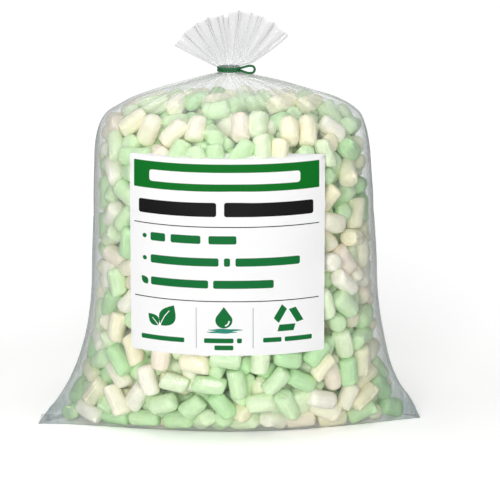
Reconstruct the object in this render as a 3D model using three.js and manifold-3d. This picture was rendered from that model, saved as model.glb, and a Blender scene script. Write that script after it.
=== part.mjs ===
// A clear film bag of loose-fill packing peanuts, stood upright and tied at the neck.
// Units are millimetres, +Z is up, the label faces -Y, and the origin is the middle of the base.
// The bag is one film tube: sealed flat across the bottom, where its two corners stand out as
// ears, gathered by the tie at the neck, and spread above the tie as a pleated fan.
import * as THREE from "three";
import { mergeVertices } from "three/addons/utils/BufferGeometryUtils.js";
import Module from "manifold-3d";

const wasm = await Module();
wasm.setup();

// Driving dimensions.
const WALL = 1.2; // stands for film of 0.05 mm
const GAP = 0.4; // kept between solids that touch
const AROUND = 48; // points in each ring of the bag, an even number
const NECK = { z: 511.5, radius: 14, halfHeight: 5.5, bore: 4 };
// The film layers lie together for `grip` at each ear tip, and the ears point a little forward.
const EAR = { grip: 22, height: 150, leftForward: 47, rightForward: 18, reach: 280 };
const OVAL = { power: 2.3, floorPower: 2 }; // squareness of the section, above the ears and below
const FAN = {
  ...{ middle: 93.5, spread: 59.5, length: 90, lean: 6.5, droop: 7 },
  ...{ gap: 9, edge: 0.7, opens: 3 },
};
const PLEAT = { count: 7, depth: 6 };
const LABEL = { width: 271, height: 275, middleX: -2.5, bottom: 132.8, thickness: 0.6, clear: 1.5 };
const TIE = { cord: 1.9, pitch: 4.2, loopLength: 22, loopHeight: 4.9 };
const PEANUT = { length: 43, radius: 12.7, variation: 0.1, count: 38, clear: 1.1, filmClear: 1.7 };
// The stretch of the lower front where peanuts are single, with extra depth towards the floor.
const WINDOW = { left: -202, right: 210, top: 182, depth: 36.5, footDepth: 28, footHeight: 60 };
const CROWN = { from: 428, top: 484, gap: 17 }; // headroom between the fill and the film

// Outline of the standing bag at heights z: left and right edges, half depth, and the shape of
// the section, from a lens with pointed ears at the floor to a full oval higher up.
const STATIONS = [
  { z: 0, left: -279, right: 279, depth: 84, ear: 1.1 },
  { z: 14, left: -269, right: 273, depth: 111, ear: 1.0 },
  { z: 30, left: -254, right: 264, depth: 126, ear: 0.87 },
  { z: 50, left: -241, right: 250, depth: 136, ear: 0.75 },
  { z: 85, left: -224, right: 234, depth: 144, ear: 0.64 },
  { z: 122, left: -212, right: 225, depth: 148, ear: 0.57 },
  { z: 176, left: -203, right: 216, depth: 150, ear: 0.53 },
  { z: 272, left: -198, right: 210, depth: 149, ear: 0.52 },
  { z: 380, left: -195, right: 203, depth: 139, ear: 0.53 },
  { z: 418, left: -191, right: 198, depth: 125, ear: 0.53 },
  { z: 440, left: -184, right: 193, depth: 109, ear: 0.52 },
  { z: 452, left: -175, right: 189, depth: 97, ear: 0.51 },
  { z: 461, left: -160, right: 181, depth: 86, ear: 0.5 },
  { z: 472, left: -139, right: 163, depth: 69, ear: 0.5 },
  { z: 483, left: -106, right: 128, depth: 48, ear: 0.5 },
  { z: 495, left: -62, right: 78, depth: 28, ear: 0.5 },
  { z: NECK.z - NECK.halfHeight, left: -NECK.radius, right: NECK.radius, depth: 14, ear: 0.5 },
];
const COLUMNS = ["left", "right", "depth", "ear"];
const outline = new THREE.CubicInterpolant(
  STATIONS.map((s) => s.z),
  STATIONS.flatMap((s) => COLUMNS.map((c) => s[c])),
  COLUMNS.length,
  new Float32Array(COLUMNS.length),
);

const MATERIALS = {
  film: { color: 0xe9efec, roughness: 0.12, metalness: 0, transparent: true, opacity: 0.3 },
  label: { color: 0xf5f5f6, roughness: 0.45, metalness: 0 },
  tie: { color: 0x0f6b35, roughness: 0.5, metalness: 0 },
  green: { color: 0xbfe9b4, roughness: 0.85, metalness: 0 },
  cream: { color: 0xf2eec9, roughness: 0.85, metalness: 0 },
  mixed: { color: 0xd9ecc0, roughness: 0.85, metalness: 0 },
};

const bag = new THREE.Group();

function place(name, geometry, finish) {
  const mesh = new THREE.Mesh(geometry, new THREE.MeshStandardMaterial(MATERIALS[finish]));
  mesh.name = name;
  bag.add(mesh);
  return mesh;
}

// The bag's section at height z, pulled in by `inset` all round and by the ears' grip at the tips.
function sectionAt(z, inset = 0) {
  const [left, right, depth, ear] = outline.evaluate(z);
  const flare = Math.max(0, 1 - z / EAR.height);
  const tip = inset > 0 ? inset + EAR.grip * flare : 0;
  return {
    middle: (left + right) / 2,
    half: Math.max(1, (right - left) / 2 - tip),
    depth: Math.max(1, depth - inset),
    ear,
    power: THREE.MathUtils.lerp(OVAL.power, OVAL.floorPower, flare),
  };
}

// Half depth of a section at a place x across it.
function depthAt(section, x) {
  const across = Math.min(1, Math.abs(x - section.middle) / section.half);
  return section.depth * (1 - across ** section.power) ** section.ear;
}

// How far the middle of the section bends forward at x, where the ears are.
function earBend(x, z) {
  const forward = x < 0 ? EAR.leftForward : EAR.rightForward;
  return -forward * Math.max(0, 1 - z / EAR.height) ** 2 * (Math.abs(x) / EAR.reach) ** 3;
}

// A closed ring of points, anticlockwise seen from above, starting at the right-hand edge.
function ring(pointAt) {
  return Array.from({ length: AROUND }, (_, i) => pointAt((i / AROUND) * 2 * Math.PI));
}

function bodyRing(z, inset = 0, height = z) {
  const section = sectionAt(z, inset);
  return ring((turn) => {
    const x = section.middle + section.half * Math.cos(turn);
    const side = Math.abs(Math.sin(turn)) < 1e-9 ? 0 : Math.sign(Math.sin(turn));
    return new THREE.Vector3(x, side * depthAt(section, x) + earBend(x, z), height);
  });
}

function neckRing(z, radius) {
  return ring((turn) => new THREE.Vector3(radius * Math.cos(turn), radius * Math.sin(turn), z));
}

// A ring of the fan above the tie: an arc of the given share of the fan's length, about a point
// just under the neck, with the same pleats in its front and back layers.
function fanRing(share, inset) {
  const spread = THREE.MathUtils.degToRad(FAN.spread);
  const middle = THREE.MathUtils.degToRad(FAN.middle);
  const foot = NECK.radius / Math.sin(spread);
  const centreZ = NECK.z + NECK.halfHeight - NECK.radius / Math.tan(spread);
  return ring((turn) => {
    const angle = middle - spread * Math.cos(turn);
    const reach = FAN.length + FAN.lean * Math.cos(angle) + FAN.droop * Math.cos(angle) ** 2;
    const radius = foot + share * (reach - foot);
    const trimmed = middle - (spread - (1.6 * inset) / radius) * Math.cos(turn);
    const pleat = share * PLEAT.depth * Math.sin(2 * PLEAT.count * Math.cos(turn));
    const spacing = Math.min(1, FAN.opens * share);
    const halfGap = THREE.MathUtils.lerp(NECK.radius - 1, FAN.gap, spacing) - inset;
    const rounding = Math.sign(Math.sin(turn)) * Math.abs(Math.sin(turn)) ** FAN.edge;
    return new THREE.Vector3(
      radius * Math.cos(trimmed),
      halfGap * rounding + pleat,
      centreZ + radius * Math.sin(trimmed),
    );
  });
}

// One closed surface through a run of rings, with a flat cap on the first and the last. Where the
// run comes back down, each four-sided patch is still split along the same diagonal.
function loft(rings) {
  const index = [];
  const last = (rings.length - 1) * AROUND;
  for (let k = 0; k < last; k += AROUND) {
    const rising = rings[k / AROUND + 1][0].z > rings[k / AROUND][0].z;
    for (let i = 0; i < AROUND; i++) {
      const next = (i + 1) % AROUND;
      const [a, b, c, d] = [k + i, k + next, k + AROUND + next, k + AROUND + i];
      index.push(...(rising ? [a, b, c, a, c, d] : [a, b, d, b, c, d]));
    }
  }
  for (let i = 0; i < AROUND / 2; i++) {
    const [a, b] = [i, i + 1];
    const [c, d] = [AROUND - i - 1, (AROUND - i) % AROUND];
    if (b !== c) {
      index.push(a, c, b);
      index.push(last + a, last + b, last + c);
    }
    if (a !== d) {
      index.push(a, d, c);
      index.push(last + a, last + c, last + d);
    }
  }
  const geometry = new THREE.BufferGeometry().setFromPoints(rings.flat());
  return geometry.setIndex(index);
}

function solidOf(geometry) {
  const bare = geometry.clone().deleteAttribute("normal").deleteAttribute("uv");
  const merged = mergeVertices(bare);
  const vertProperties = merged.attributes.position.array;
  const triVerts = new Uint32Array(merged.index.array);
  return new wasm.Manifold(new wasm.Mesh({ numProp: 3, vertProperties, triVerts }));
}

function geometryOf(solid) {
  const { vertProperties, triVerts } = solid.getMesh();
  return new THREE.BufferGeometry()
    .setAttribute("position", new THREE.BufferAttribute(vertProperties, 3))
    .setIndex(new THREE.BufferAttribute(triVerts, 1));
}

// Bag: the outer surface runs up to the mouth and the inner one back down to the bottom seal.
const BODY_HEIGHTS = [
  7, 16, 28, 44, 64, 90, 125, 175, 235, 300, 350, 390, 415, 432, 444, 454, 462, 470, 478, 486, 493,
  500,
];
const FAN_SHARES = [0, 0.14, 0.36, 0.62, 0.82, 1];

function filmSolid() {
  const [neckLow, neckHigh] = [NECK.z - NECK.halfHeight, NECK.z + NECK.halfHeight];
  const outer = [0, ...BODY_HEIGHTS, neckLow].map((z) => bodyRing(z));
  const inner = BODY_HEIGHTS.map((z) => bodyRing(z, WALL));
  const bore = [neckLow, neckHigh].map((z) => neckRing(z, NECK.bore));
  const fanInset = (share) => (share ? WALL : NECK.radius - NECK.bore - 1);
  return loft([
    ...outer,
    neckRing(neckHigh, NECK.radius),
    ...FAN_SHARES.map((share) => fanRing(share, 0)),
    ...FAN_SHARES.map((share) => fanRing(share, fanInset(share))).reverse(),
    ...bore.reverse(),
    ...inner.reverse(),
    bodyRing(WALL, WALL),
  ]);
}
place("bag_film", filmSolid(), "film");

// Fill: the mass of peanuts that are too many to build one by one, with headroom under the neck
// and a shelf along the lower front, where the single peanuts below lie.
function fillLoft(inset, footInset = 0) {
  const heights = [WALL + GAP, ...BODY_HEIGHTS.filter((z) => z < CROWN.top - 5), CROWN.top];
  return loft(
    heights.map((z) => {
      const lift = CROWN.gap * THREE.MathUtils.smoothstep(z, CROWN.from, CROWN.top);
      const foot = footInset * Math.max(0, 1 - z / WINDOW.footHeight);
      return bodyRing(z + lift, inset + foot, z);
    }),
  );
}

function fillSolid() {
  const shelfWidth = WINDOW.right - WINDOW.left;
  const shelf = new THREE.BoxGeometry(shelfWidth, 200, WINDOW.top + 20);
  shelf.translate((WINDOW.left + WINDOW.right) / 2, -120, WINDOW.top / 2 - 10);
  const behind = solidOf(fillLoft(WALL + GAP + WINDOW.depth, WINDOW.footDepth));
  const cut = solidOf(shelf).subtract(behind);
  return geometryOf(solidOf(fillLoft(WALL + GAP)).subtract(cut));
}
place("peanut_fill", fillSolid(), "mixed");

// Single peanuts: short extruded foam rods with rounded ends, lying against the film.
const random = () => THREE.MathUtils.seededRandom();

function frontPoint(x, z) {
  return new THREE.Vector3(x, earBend(x, z) - depthAt(sectionAt(z, WALL), x), z);
}

// The place and turn of a peanut that touches the film at x, z and slopes by `tilt` along it.
function lay(peanut) {
  const here = frontPoint(peanut.x, peanut.z);
  const acrossFilm = frontPoint(peanut.x + 4, peanut.z).sub(here).normalize();
  const upFilm = frontPoint(peanut.x, peanut.z + 4).sub(here).normalize();
  const inward = new THREE.Vector3().crossVectors(upFilm, acrossFilm).normalize();
  const along = acrossFilm.multiplyScalar(Math.cos(peanut.tilt));
  along.addScaledVector(upFilm, Math.sin(peanut.tilt)).normalize();
  const half = peanut.length / 2 - peanut.radius + 1;
  const centre = here.addScaledVector(inward, peanut.radius + GAP);
  let shortfall = 0;
  for (const end of [-half, half]) {
    const tip = centre.clone().addScaledVector(along, end);
    const film = frontPoint(tip.x, tip.z);
    const room = (tip.y - film.y) * Math.abs(inward.y);
    shortfall = Math.max(shortfall, peanut.radius + GAP + PEANUT.filmClear - room);
  }
  centre.addScaledVector(inward, shortfall);
  const tips = [-half, half].map((end) => centre.clone().addScaledVector(along, end));
  return { centre, along, axis: new THREE.Line3(...tips) };
}

// Spreads peanuts over the window and nudges them apart until none touches another.
const SETTLE = { seed: 11, perRow: 8, passes: 400, push: 0.3, turn: 0.12 };

function settle() {
  THREE.MathUtils.seededRandom(SETTLE.seed);
  const peanuts = [];
  const perRow = SETTLE.perRow;
  const rows = Math.ceil(PEANUT.count / perRow);
  for (let i = 0; i < PEANUT.count; i++) {
    const size = 1 + PEANUT.variation * (2 * random() - 1);
    const column = (i % perRow) + (Math.floor(i / perRow) % 2) / 2 + 0.25;
    peanuts.push({
      x: THREE.MathUtils.lerp(WINDOW.left + 20, WINDOW.right - 20, column / perRow),
      z: THREE.MathUtils.lerp(10, WINDOW.top - 14, Math.floor(i / perRow) / (rows - 1)),
      tilt: Math.PI * (random() - 0.5),
      length: PEANUT.length * size,
      radius: PEANUT.radius * (1 + 0.05 * (2 * random() - 1)),
    });
  }
  const [mine, other] = [new THREE.Vector3(), new THREE.Vector3()];
  for (let pass = 0; pass < SETTLE.passes; pass++) {
    const laid = peanuts.map(lay);
    for (let i = 0; i < peanuts.length; i++) {
      for (let j = 0; j < i; j++) {
        const apart = Math.sqrt(laid[i].axis.distanceSqToLine3(laid[j].axis, mine, other));
        const wanted = peanuts[i].radius + peanuts[j].radius + 2 * PEANUT.clear;
        if (apart < wanted) {
          const push = mine.clone().sub(other).setLength(SETTLE.push * (wanted - apart));
          nudge(peanuts[i], laid[i], mine, push);
          nudge(peanuts[j], laid[j], other, push.negate());
        }
      }
    }
    peanuts.forEach((peanut) => {
      const { start, end } = lay(peanut).axis;
      const margin = peanut.radius + PEANUT.clear;
      const low = Math.min(start.z, end.z) - margin - WALL - GAP;
      const high = WINDOW.top - Math.max(start.z, end.z) - margin - 2 * GAP;
      const left = Math.min(start.x, end.x) - margin - WINDOW.left;
      const right = WINDOW.right - Math.max(start.x, end.x) - margin;
      peanut.z += Math.max(0, -low) - Math.max(0, -high);
      peanut.x += Math.max(0, -left) - Math.max(0, -right);
    });
  }
  return peanuts;
}

// Moves and turns a peanut as a push at a point of its axis would.
function nudge(peanut, { centre, along }, point, push) {
  peanut.x += push.x;
  peanut.z += push.z;
  const lever = point.clone().sub(centre).dot(along);
  const sideways = push.z * Math.cos(peanut.tilt) - push.x * Math.sin(peanut.tilt);
  peanut.tilt += (lever * sideways) / (SETTLE.turn * peanut.length ** 2);
}

// A rod with chamfered ends, turned about its own length.
function peanutGeometry(length, radius) {
  const [end, shoulder] = [length / 2, length / 2 - 0.45 * radius];
  const profile = [
    new THREE.Vector2(0, -end),
    new THREE.Vector2(0.7 * radius, -end + 0.6),
    new THREE.Vector2(radius, -shoulder),
    new THREE.Vector2(radius, shoulder),
    new THREE.Vector2(0.7 * radius, end - 0.6),
    new THREE.Vector2(0, end),
  ];
  return new THREE.LatheGeometry(profile, 10);
}

settle().forEach((peanut, i) => {
  const number = String(i + 1).padStart(2, "0");
  const finish = i % 9 < 5 ? "green" : "cream";
  const { length, radius } = peanut;
  const mesh = place(`peanut_${number}`, peanutGeometry(length, radius), finish);
  const { centre, along } = lay(peanut);
  mesh.position.copy(centre);
  mesh.quaternion.setFromUnitVectors(new THREE.Vector3(0, 1, 0), along);
});

// Label: a printed sheet stuck to the front, bent to the bag's curve.
function labelSolid() {
  const sheet = new THREE.BoxGeometry(LABEL.width, LABEL.height, LABEL.thickness, 16, 8, 1);
  const spots = sheet.attributes.position;
  for (let i = 0; i < spots.count; i++) {
    const x = LABEL.middleX + spots.getX(i);
    const z = LABEL.bottom + LABEL.height / 2 + spots.getY(i);
    const proud = LABEL.clear + LABEL.thickness / 2 + spots.getZ(i);
    spots.setXYZ(i, x, earBend(x, z) - depthAt(sectionAt(z), x) - proud, z);
  }
  return sheet;
}
place("front_label", labelSolid(), "label");

// Tie: one green cord, doubled. Its fold stands out to the right as a loop, and its two strands
// lie one above the other round the neck and end side by side at the back.
function tieSolid() {
  const ringRadius = NECK.radius + GAP + TIE.cord + 0.3;
  const [root, turnEnd] = [-0.35, -5.75]; // angles round the neck where a strand starts and ends
  const strand = (height, from, to) => {
    const steps = 12;
    return Array.from({ length: steps + 1 }, (_, i) => {
      const angle = THREE.MathUtils.lerp(from, to, i / steps);
      const [x, y] = [ringRadius * Math.cos(angle), ringRadius * Math.sin(angle)];
      return new THREE.Vector3(x, y, NECK.z + height);
    });
  };
  const loopX = ringRadius * Math.cos(root);
  const loopY = ringRadius * Math.sin(root) - 1.5;
  const loop = [
    [0.32, -0.72],
    [0.62, -1.0],
    [0.9, -0.8],
    [1, 0],
    [0.9, 0.8],
    [0.62, 1.0],
    [0.32, 0.72],
  ].map(([out, up]) => {
    const x = loopX + out * (TIE.loopLength - TIE.cord);
    return new THREE.Vector3(x, loopY, NECK.z + up * TIE.loopHeight);
  });
  const low = strand(-TIE.pitch / 2, turnEnd, root);
  const high = strand(TIE.pitch / 2, root, turnEnd);
  const route = new THREE.CatmullRomCurve3([...low, ...loop, ...high], false, "centripetal");
  const section = new THREE.Shape().absarc(0, 0, TIE.cord, 0, 2 * Math.PI, false);
  const settings = { steps: 64, curveSegments: 3, bevelEnabled: false, extrudePath: route };
  return new THREE.ExtrudeGeometry(section, settings);
}
place("neck_tie", tieSolid(), "tie");

export default bag;
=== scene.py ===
import math
import bpy
import numpy as np
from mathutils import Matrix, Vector
from mathutils.bvhtree import BVHTree
from mathutils.geometry import delaunay_2d_cdt
from mathutils.kdtree import KDTree


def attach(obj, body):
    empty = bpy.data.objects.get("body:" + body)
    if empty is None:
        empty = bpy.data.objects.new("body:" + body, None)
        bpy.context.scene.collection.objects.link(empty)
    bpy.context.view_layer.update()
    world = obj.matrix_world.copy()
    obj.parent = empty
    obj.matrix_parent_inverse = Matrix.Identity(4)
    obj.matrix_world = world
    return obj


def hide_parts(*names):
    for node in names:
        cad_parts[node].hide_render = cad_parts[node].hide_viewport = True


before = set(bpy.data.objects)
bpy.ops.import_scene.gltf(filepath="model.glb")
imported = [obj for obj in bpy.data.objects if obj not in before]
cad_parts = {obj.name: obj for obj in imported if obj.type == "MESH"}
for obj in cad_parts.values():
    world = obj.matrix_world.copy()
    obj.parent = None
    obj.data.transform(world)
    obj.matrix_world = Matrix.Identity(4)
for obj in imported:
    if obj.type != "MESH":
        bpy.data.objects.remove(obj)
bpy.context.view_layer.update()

# A clear film bag of packing peanuts. Shapes are worked out in millimetres and made in metres.
mm = 0.001
dice = np.random.default_rng(41)


# small helpers
def linearColour(hexText):
    parts = [int(hexText[i:i + 2], 16) / 255 for i in (1, 3, 5)]
    return (*[c / 12.92 if c <= 0.04045 else ((c + 0.055) / 1.055) ** 2.4 for c in parts], 1.0)


def addNode(tree, kind, settings=None, links=None):
    node = tree.nodes.new(kind)
    for key, value in (settings or {}).items():
        if isinstance(key, str) and hasattr(node, key):
            setattr(node, key, value)
        else:
            node.inputs[key].default_value = value
    for key, socket in (links or {}).items():
        tree.links.new(socket, node.inputs[key])
    return node


def newMaterial(name):
    material = bpy.data.materials.new(name)
    material.use_nodes = True
    material.node_tree.nodes.clear()
    return material, material.node_tree


def finishMaterial(tree, surface):
    addNode(tree, "ShaderNodeOutputMaterial", links={"Surface": surface})


def pieceFromMesh(name, points, faces, materials):
    mesh = bpy.data.meshes.new(name)
    mesh.from_pydata(np.asarray(points).tolist(), [], [list(face) for face in faces])
    for material in materials:
        mesh.materials.append(material)
    mesh.polygons.foreach_set("use_smooth", [True] * len(mesh.polygons))
    mesh.update()
    piece = bpy.data.objects.new(name, mesh)
    bpy.context.collection.objects.link(piece)
    return piece


def selectOnly(piece):
    bpy.ops.object.select_all(action="DESELECT")
    piece.select_set(True)
    bpy.context.view_layer.objects.active = piece


def editWhole(piece, operator, **settings):
    selectOnly(piece)
    bpy.ops.object.mode_set(mode="EDIT")
    bpy.ops.mesh.select_all(action="SELECT")
    operator(**settings)
    bpy.ops.object.mode_set(mode="OBJECT")


def smoothStep(value, low, high):
    share = np.clip((value - low) / (high - low), 0, 1)
    return share * share * (3 - 2 * share)


# the camera, at the height and distance of a product shot
cameraView = {
    "target": (0.029, 0.0, 0.249),
    "distance": 3.0,
    "elevation": 13,  # degrees
    "frameWidth": 0.725,  # metres across the picture at the target
    "sensor": 36,  # mm
}
cameraData = bpy.data.cameras.new("productCamera")
cameraData.sensor_width = cameraView["sensor"]
cameraData.lens = cameraView["sensor"] * cameraView["distance"] / cameraView["frameWidth"]
productCamera = bpy.data.objects.new("productCamera", cameraData)
bpy.context.collection.objects.link(productCamera)
lift = math.radians(cameraView["elevation"])
toCamera = Vector((0, -math.cos(lift), math.sin(lift)))
productCamera.location = Vector(cameraView["target"]) + toCamera * cameraView["distance"]
productCamera.rotation_euler = toCamera.to_track_quat("Z", "Y").to_euler()
bpy.context.scene.camera = productCamera

# the bag's outline: the frame's film, up to 8 mm narrower at the right shoulder
bagOutline = {
    "height": [0, 14, 30, 50, 85, 122, 176, 272, 380, 418, 440, 452, 461, 472, 483, 495, 506],
    "left": [-279, -269, -254, -241, -224, -212, -203, -198, -195, -191, -184, -175, -160, -139,
             -106, -62, -14],
    "right": [279, 273, 264, 250, 234, 225, 216, 210, 203, 198, 192, 186, 175, 155, 120, 73, 14],
    "depth": [84, 111, 126, 136, 144, 148, 150, 149, 139, 125, 109, 97, 86, 69, 48, 28, 14],
    "ear": [1.1, 1.0, 0.87, 0.75, 0.64, 0.57, 0.53, 0.52, 0.53, 0.53, 0.52, 0.51, 0.5, 0.5, 0.5,
            0.5, 0.5],  # how sharply the section narrows to its two folded edges
}
cornerShape = {  # the two flat corners at the base, which lean forward
    "height": 150, "leftForward": 47, "rightForward": 18, "reach": 280,
    "power": 2.3, "powerFall": 0.3,  # of the section's own curve, and how much less at the floor
}


def cornerShare(height):
    return np.clip(1 - height / cornerShape["height"], 0, 1)


def outlineAt(column, height):
    at, value = (np.array(bagOutline[key], float) for key in ("height", column))
    slope = np.diff(value) / np.diff(at)
    tangent = np.concatenate([slope[:1], (slope[:-1] + slope[1:]) / 2, slope[-1:]])
    height = np.clip(height, at[0], at[-1])
    i = np.clip(np.searchsorted(at, height, "right") - 1, 0, len(at) - 2)
    span = at[i + 1] - at[i]
    p = (height - at[i]) / span
    start = (1 + 2 * p) * (1 - p) ** 2 * value[i] + p * (1 - p) ** 2 * span * tangent[i]
    end = p * p * (3 - 2 * p) * value[i + 1] - p * p * (1 - p) * span * tangent[i + 1]
    return start + end


def sectionAt(height):
    left, right, depth, ear = (outlineAt(key, height) for key in ("left", "right", "depth", "ear"))
    power = cornerShape["power"] - cornerShape["powerFall"] * cornerShare(height)
    return (left + right) / 2, (right - left) / 2, depth, ear, power


def depthAt(x, height):
    middle, half, depth, ear, power = sectionAt(height)
    across = np.clip(np.abs(x - middle) / half, 0, 1)
    return depth * (1 - across ** power) ** ear


def earBend(x, height):
    forward = np.where(x < 0, cornerShape["leftForward"], cornerShape["rightForward"])
    return -forward * cornerShare(height) ** 2 * (np.abs(x) / cornerShape["reach"]) ** 3


def bodyPoint(turn, height):
    middle, half, depth, ear, power = sectionAt(height)
    across = np.cos(turn)
    bulge = np.maximum(0, 1 - np.abs(across) ** power) ** ear
    x = middle + half * across
    y = np.sign(np.sin(turn)) * depth * bulge + earBend(x, height)
    return np.stack(np.broadcast_arrays(x, y, height), -1)


def gridNormals(points):
    around = np.roll(points, -1, 1) - np.roll(points, 1, 1)
    up = np.gradient(points, axis=0)
    normal = np.cross(around, up)
    length = np.linalg.norm(normal, axis=-1, keepdims=True)
    return normal / np.maximum(length, 1e-9)


print("bag outline ready")

# packing peanuts: short extruded starch rods, cut to length, puffed and a little crushed
peanutShape = {
    "length": 43,
    "radius": 12.7,
    "sides": 12,
    "rim": 6.5,  # how far the rounding of each end reaches
    "waist": 6,  # each side of the middle, where the rod can bend
    "variants": 8,
    "lengths": (0.88, 1.12),  # how much they vary
    "radii": (0.94, 1.07),
    "floor": 0.4,  # no foam reaches lower than this
}
settling = {
    "field": [(-260, 261), (-140, 141), (16, 480)],  # where the loose fill starts from, x, y and z
    "spacing": 30.6,
    "toss": 8,
    "wallRoom": 9,  # a start is at least this far inside the film
    "floorRoom": 12,
    "ownRoom": 23,  # and this far from the frame's own peanuts
    "hugDepth": 26,  # peanuts this near to the film lie along it
    "hug": 0.75,
    "squeeze": 0.93,  # the share of its radius at which the soft foam starts to resist
    "ease": 1.25,
    "pairReach": 27.5,  # ends further apart than this can't touch
    "weight": 0.03,  # how far the fill sinks in each pass
    "stray": 7,  # how far the frame's peanuts may shift as the rest settles
    "holdTurn": 0.15,  # how firmly they keep their direction
    "lowRow": 40, "lowRowShift": [0, -5, -4],  # the lowest row presses against the film
    "film": 1.6,  # kept clear between the fill and the bag's outline
    "edgeRoom": 6,  # more room at the tube's two folded edges, where no peanut fits
    "bottom": 1.2,
    "top": 484,
    "passes": 260,
    "quickPasses": 40,
}


def buildPeanutVariant(number):
    bpy.ops.mesh.primitive_cylinder_add(
        vertices=peanutShape["sides"], radius=peanutShape["radius"] * mm,
        depth=peanutShape["length"] * mm, end_fill_type="NGON")
    rod = bpy.context.object
    bpy.ops.object.mode_set(mode="EDIT")
    bpy.ops.mesh.select_mode(type="EDGE")
    bpy.ops.mesh.select_all(action="DESELECT")
    bpy.ops.object.mode_set(mode="OBJECT")
    for edge in rod.data.edges:  # the two rims
        a, b = (rod.data.vertices[i].co.z for i in edge.vertices)
        edge.select = abs(a - b) < 1e-6
    bpy.ops.object.mode_set(mode="EDIT")
    bpy.ops.mesh.bevel(offset=peanutShape["rim"] * mm, segments=2, profile=0.6)
    for height in (-peanutShape["waist"], peanutShape["waist"]):
        bpy.ops.mesh.select_all(action="SELECT")
        bpy.ops.mesh.bisect(plane_co=(0, 0, height * mm), plane_no=(0, 0, 1))
    bpy.ops.object.mode_set(mode="OBJECT")
    points = np.array([v.co for v in rod.data.vertices]) / mm
    faces = [list(face.vertices) for face in rod.data.polygons]
    bpy.data.objects.remove(rod)
    wander = np.random.default_rng(number + 3)
    z = points[:, 2] / (peanutShape["length"] / 2)
    angle = np.arctan2(points[:, 1], points[:, 0])
    swell = 1.0
    for k in (2, 3, 4):  # the section is squashed, and not the same all along
        start, twist = wander.uniform(0, 6.28), wander.normal(0, 0.9)
        swell = swell + (0.10 / k) * wander.uniform(0.5, 1.3) * np.cos(k * angle + start + twist * z)
    swell = swell + wander.uniform(-0.02, 0.06) * (1 - z ** 2) + wander.normal(0, 0.05) * z
    points[:, :2] *= swell[:, None]
    points[:, 0] += wander.uniform(0.4, 3.2) * (z ** 2 - 0.4)
    slant = wander.normal(0, 0.13, 2)
    points[:, 2] += (points[:, 0] * slant[0] + points[:, 1] * slant[1]) * np.abs(z) ** 2
    return points, faces


def nearPairs(points, reach):
    # Pairs of points in the same or neighbouring cells of a grid.
    cells = np.floor((points - points.min(0)) / reach).astype(np.int64) + 1
    size = cells.max(0) + 2
    key = (cells[:, 0] * size[1] + cells[:, 1]) * size[2] + cells[:, 2]
    order = np.argsort(key, kind="stable")
    ranked = key[order]
    firsts, seconds = [], []
    for dx, dy, dz in [(x, y, z) for x in (-1, 0, 1) for y in (-1, 0, 1) for z in (-1, 0, 1)]:
        shift = (dx * size[1] + dy) * size[2] + dz
        if shift < 0:  # the pair is met from its other side
            continue
        start = np.searchsorted(ranked, key + shift, "left")
        count = np.searchsorted(ranked, key + shift, "right") - start
        first = np.repeat(np.arange(len(points)), count)
        within = np.arange(count.sum()) - np.repeat(np.cumsum(count) - count, count)
        second = order[np.repeat(start, count) + within]
        keep = first < second if shift == 0 else np.ones(len(first), bool)
        firsts.append(first[keep])
        seconds.append(second[keep])
    return np.concatenate(firsts), np.concatenate(seconds)


def wallSamples():
    # Points just inside the film, with the way in from each.
    turn = np.linspace(0, 2 * math.pi, 260, endpoint=False)[None, :]
    height = np.arange(1.5, 496, 5.0)[:, None]
    points = bodyPoint(turn, height)
    inward = -gridNormals(points)
    side = smoothStep(np.abs(np.cos(turn)), 0.82, 0.99) * smoothStep(470 - height, 0, 60)
    points = points + inward * (settling["film"] + settling["edgeRoom"] * side)[..., None]
    usable = np.abs(np.sin(turn)) + 0 * height > 0.06
    return points[usable], inward[usable]


def framePeanuts():
    # Middle, direction, length and radius of each of the frame's own peanuts.
    placed = []
    names = [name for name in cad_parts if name[:7] == "peanut_" and name[7:].isdigit()]
    for name in sorted(names):
        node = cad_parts[name]
        points = np.unique(np.round([v.co for v in node.data.vertices], 6), axis=0) / mm
        centre = points.mean(0)
        spread = np.linalg.svd(points - centre, full_matrices=False)
        along = spread[2][0]
        length = np.ptp((points - centre) @ along)
        radius = np.linalg.norm(np.cross(points - centre, along), axis=1).max()
        placed.append((centre, along, length, radius))
    return [np.array(part) for part in zip(*placed)]


def startSpots(fixedCentres):
    axisRange = [np.arange(low, high, settling["spacing"]) for low, high in settling["field"]]
    spots = np.stack(np.meshgrid(*axisRange, indexing="ij"), -1).reshape(-1, 3)
    spots = spots + dice.uniform(-settling["toss"], settling["toss"], spots.shape)
    x, y, z = spots.T
    room = depthAt(x, z) - np.abs(y - earBend(x, z))
    spots = spots[(room > settling["wallRoom"]) & (z > settling["floorRoom"])]
    away = np.linalg.norm(spots[:, None] - fixedCentres[None], axis=-1).min(1)
    return spots[away > settling["ownRoom"]]


def balancedTree(points):
    tree = KDTree(len(points))
    for i, point in enumerate(points):
        tree.insert(point, i)
    tree.balance()
    return tree


def rowsDot(first, second):
    return np.einsum("ij,ij->i", first, second)


def unitRows(rows):
    return rows / np.linalg.norm(rows, axis=1, keepdims=True)


def pushApart(ends, size, owner, pairReach):
    # Each rod is three balls, and balls of different rods that overlap part.
    first, second = nearPairs(ends, pairReach)
    apart = ends[first] - ends[second]
    distance = np.linalg.norm(apart, axis=1)
    overlap = size[first] + size[second] - distance
    hit = (overlap > 0) & (owner[first] != owner[second])
    first, second = first[hit], second[hit]
    push = apart[hit] / np.maximum(distance[hit], 1e-6)[:, None] * overlap[hit][:, None] / 2
    move = np.zeros_like(ends)
    for axis in range(3):
        move[:, axis] = np.bincount(first, push[:, axis], len(ends))
        move[:, axis] -= np.bincount(second, push[:, axis], len(ends))
    touches = np.bincount(first, minlength=len(ends)) + np.bincount(second, minlength=len(ends))
    move *= settling["ease"] / np.maximum(touches, settling["ease"])[:, None]
    return ends + move, overlap[hit].max()


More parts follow.
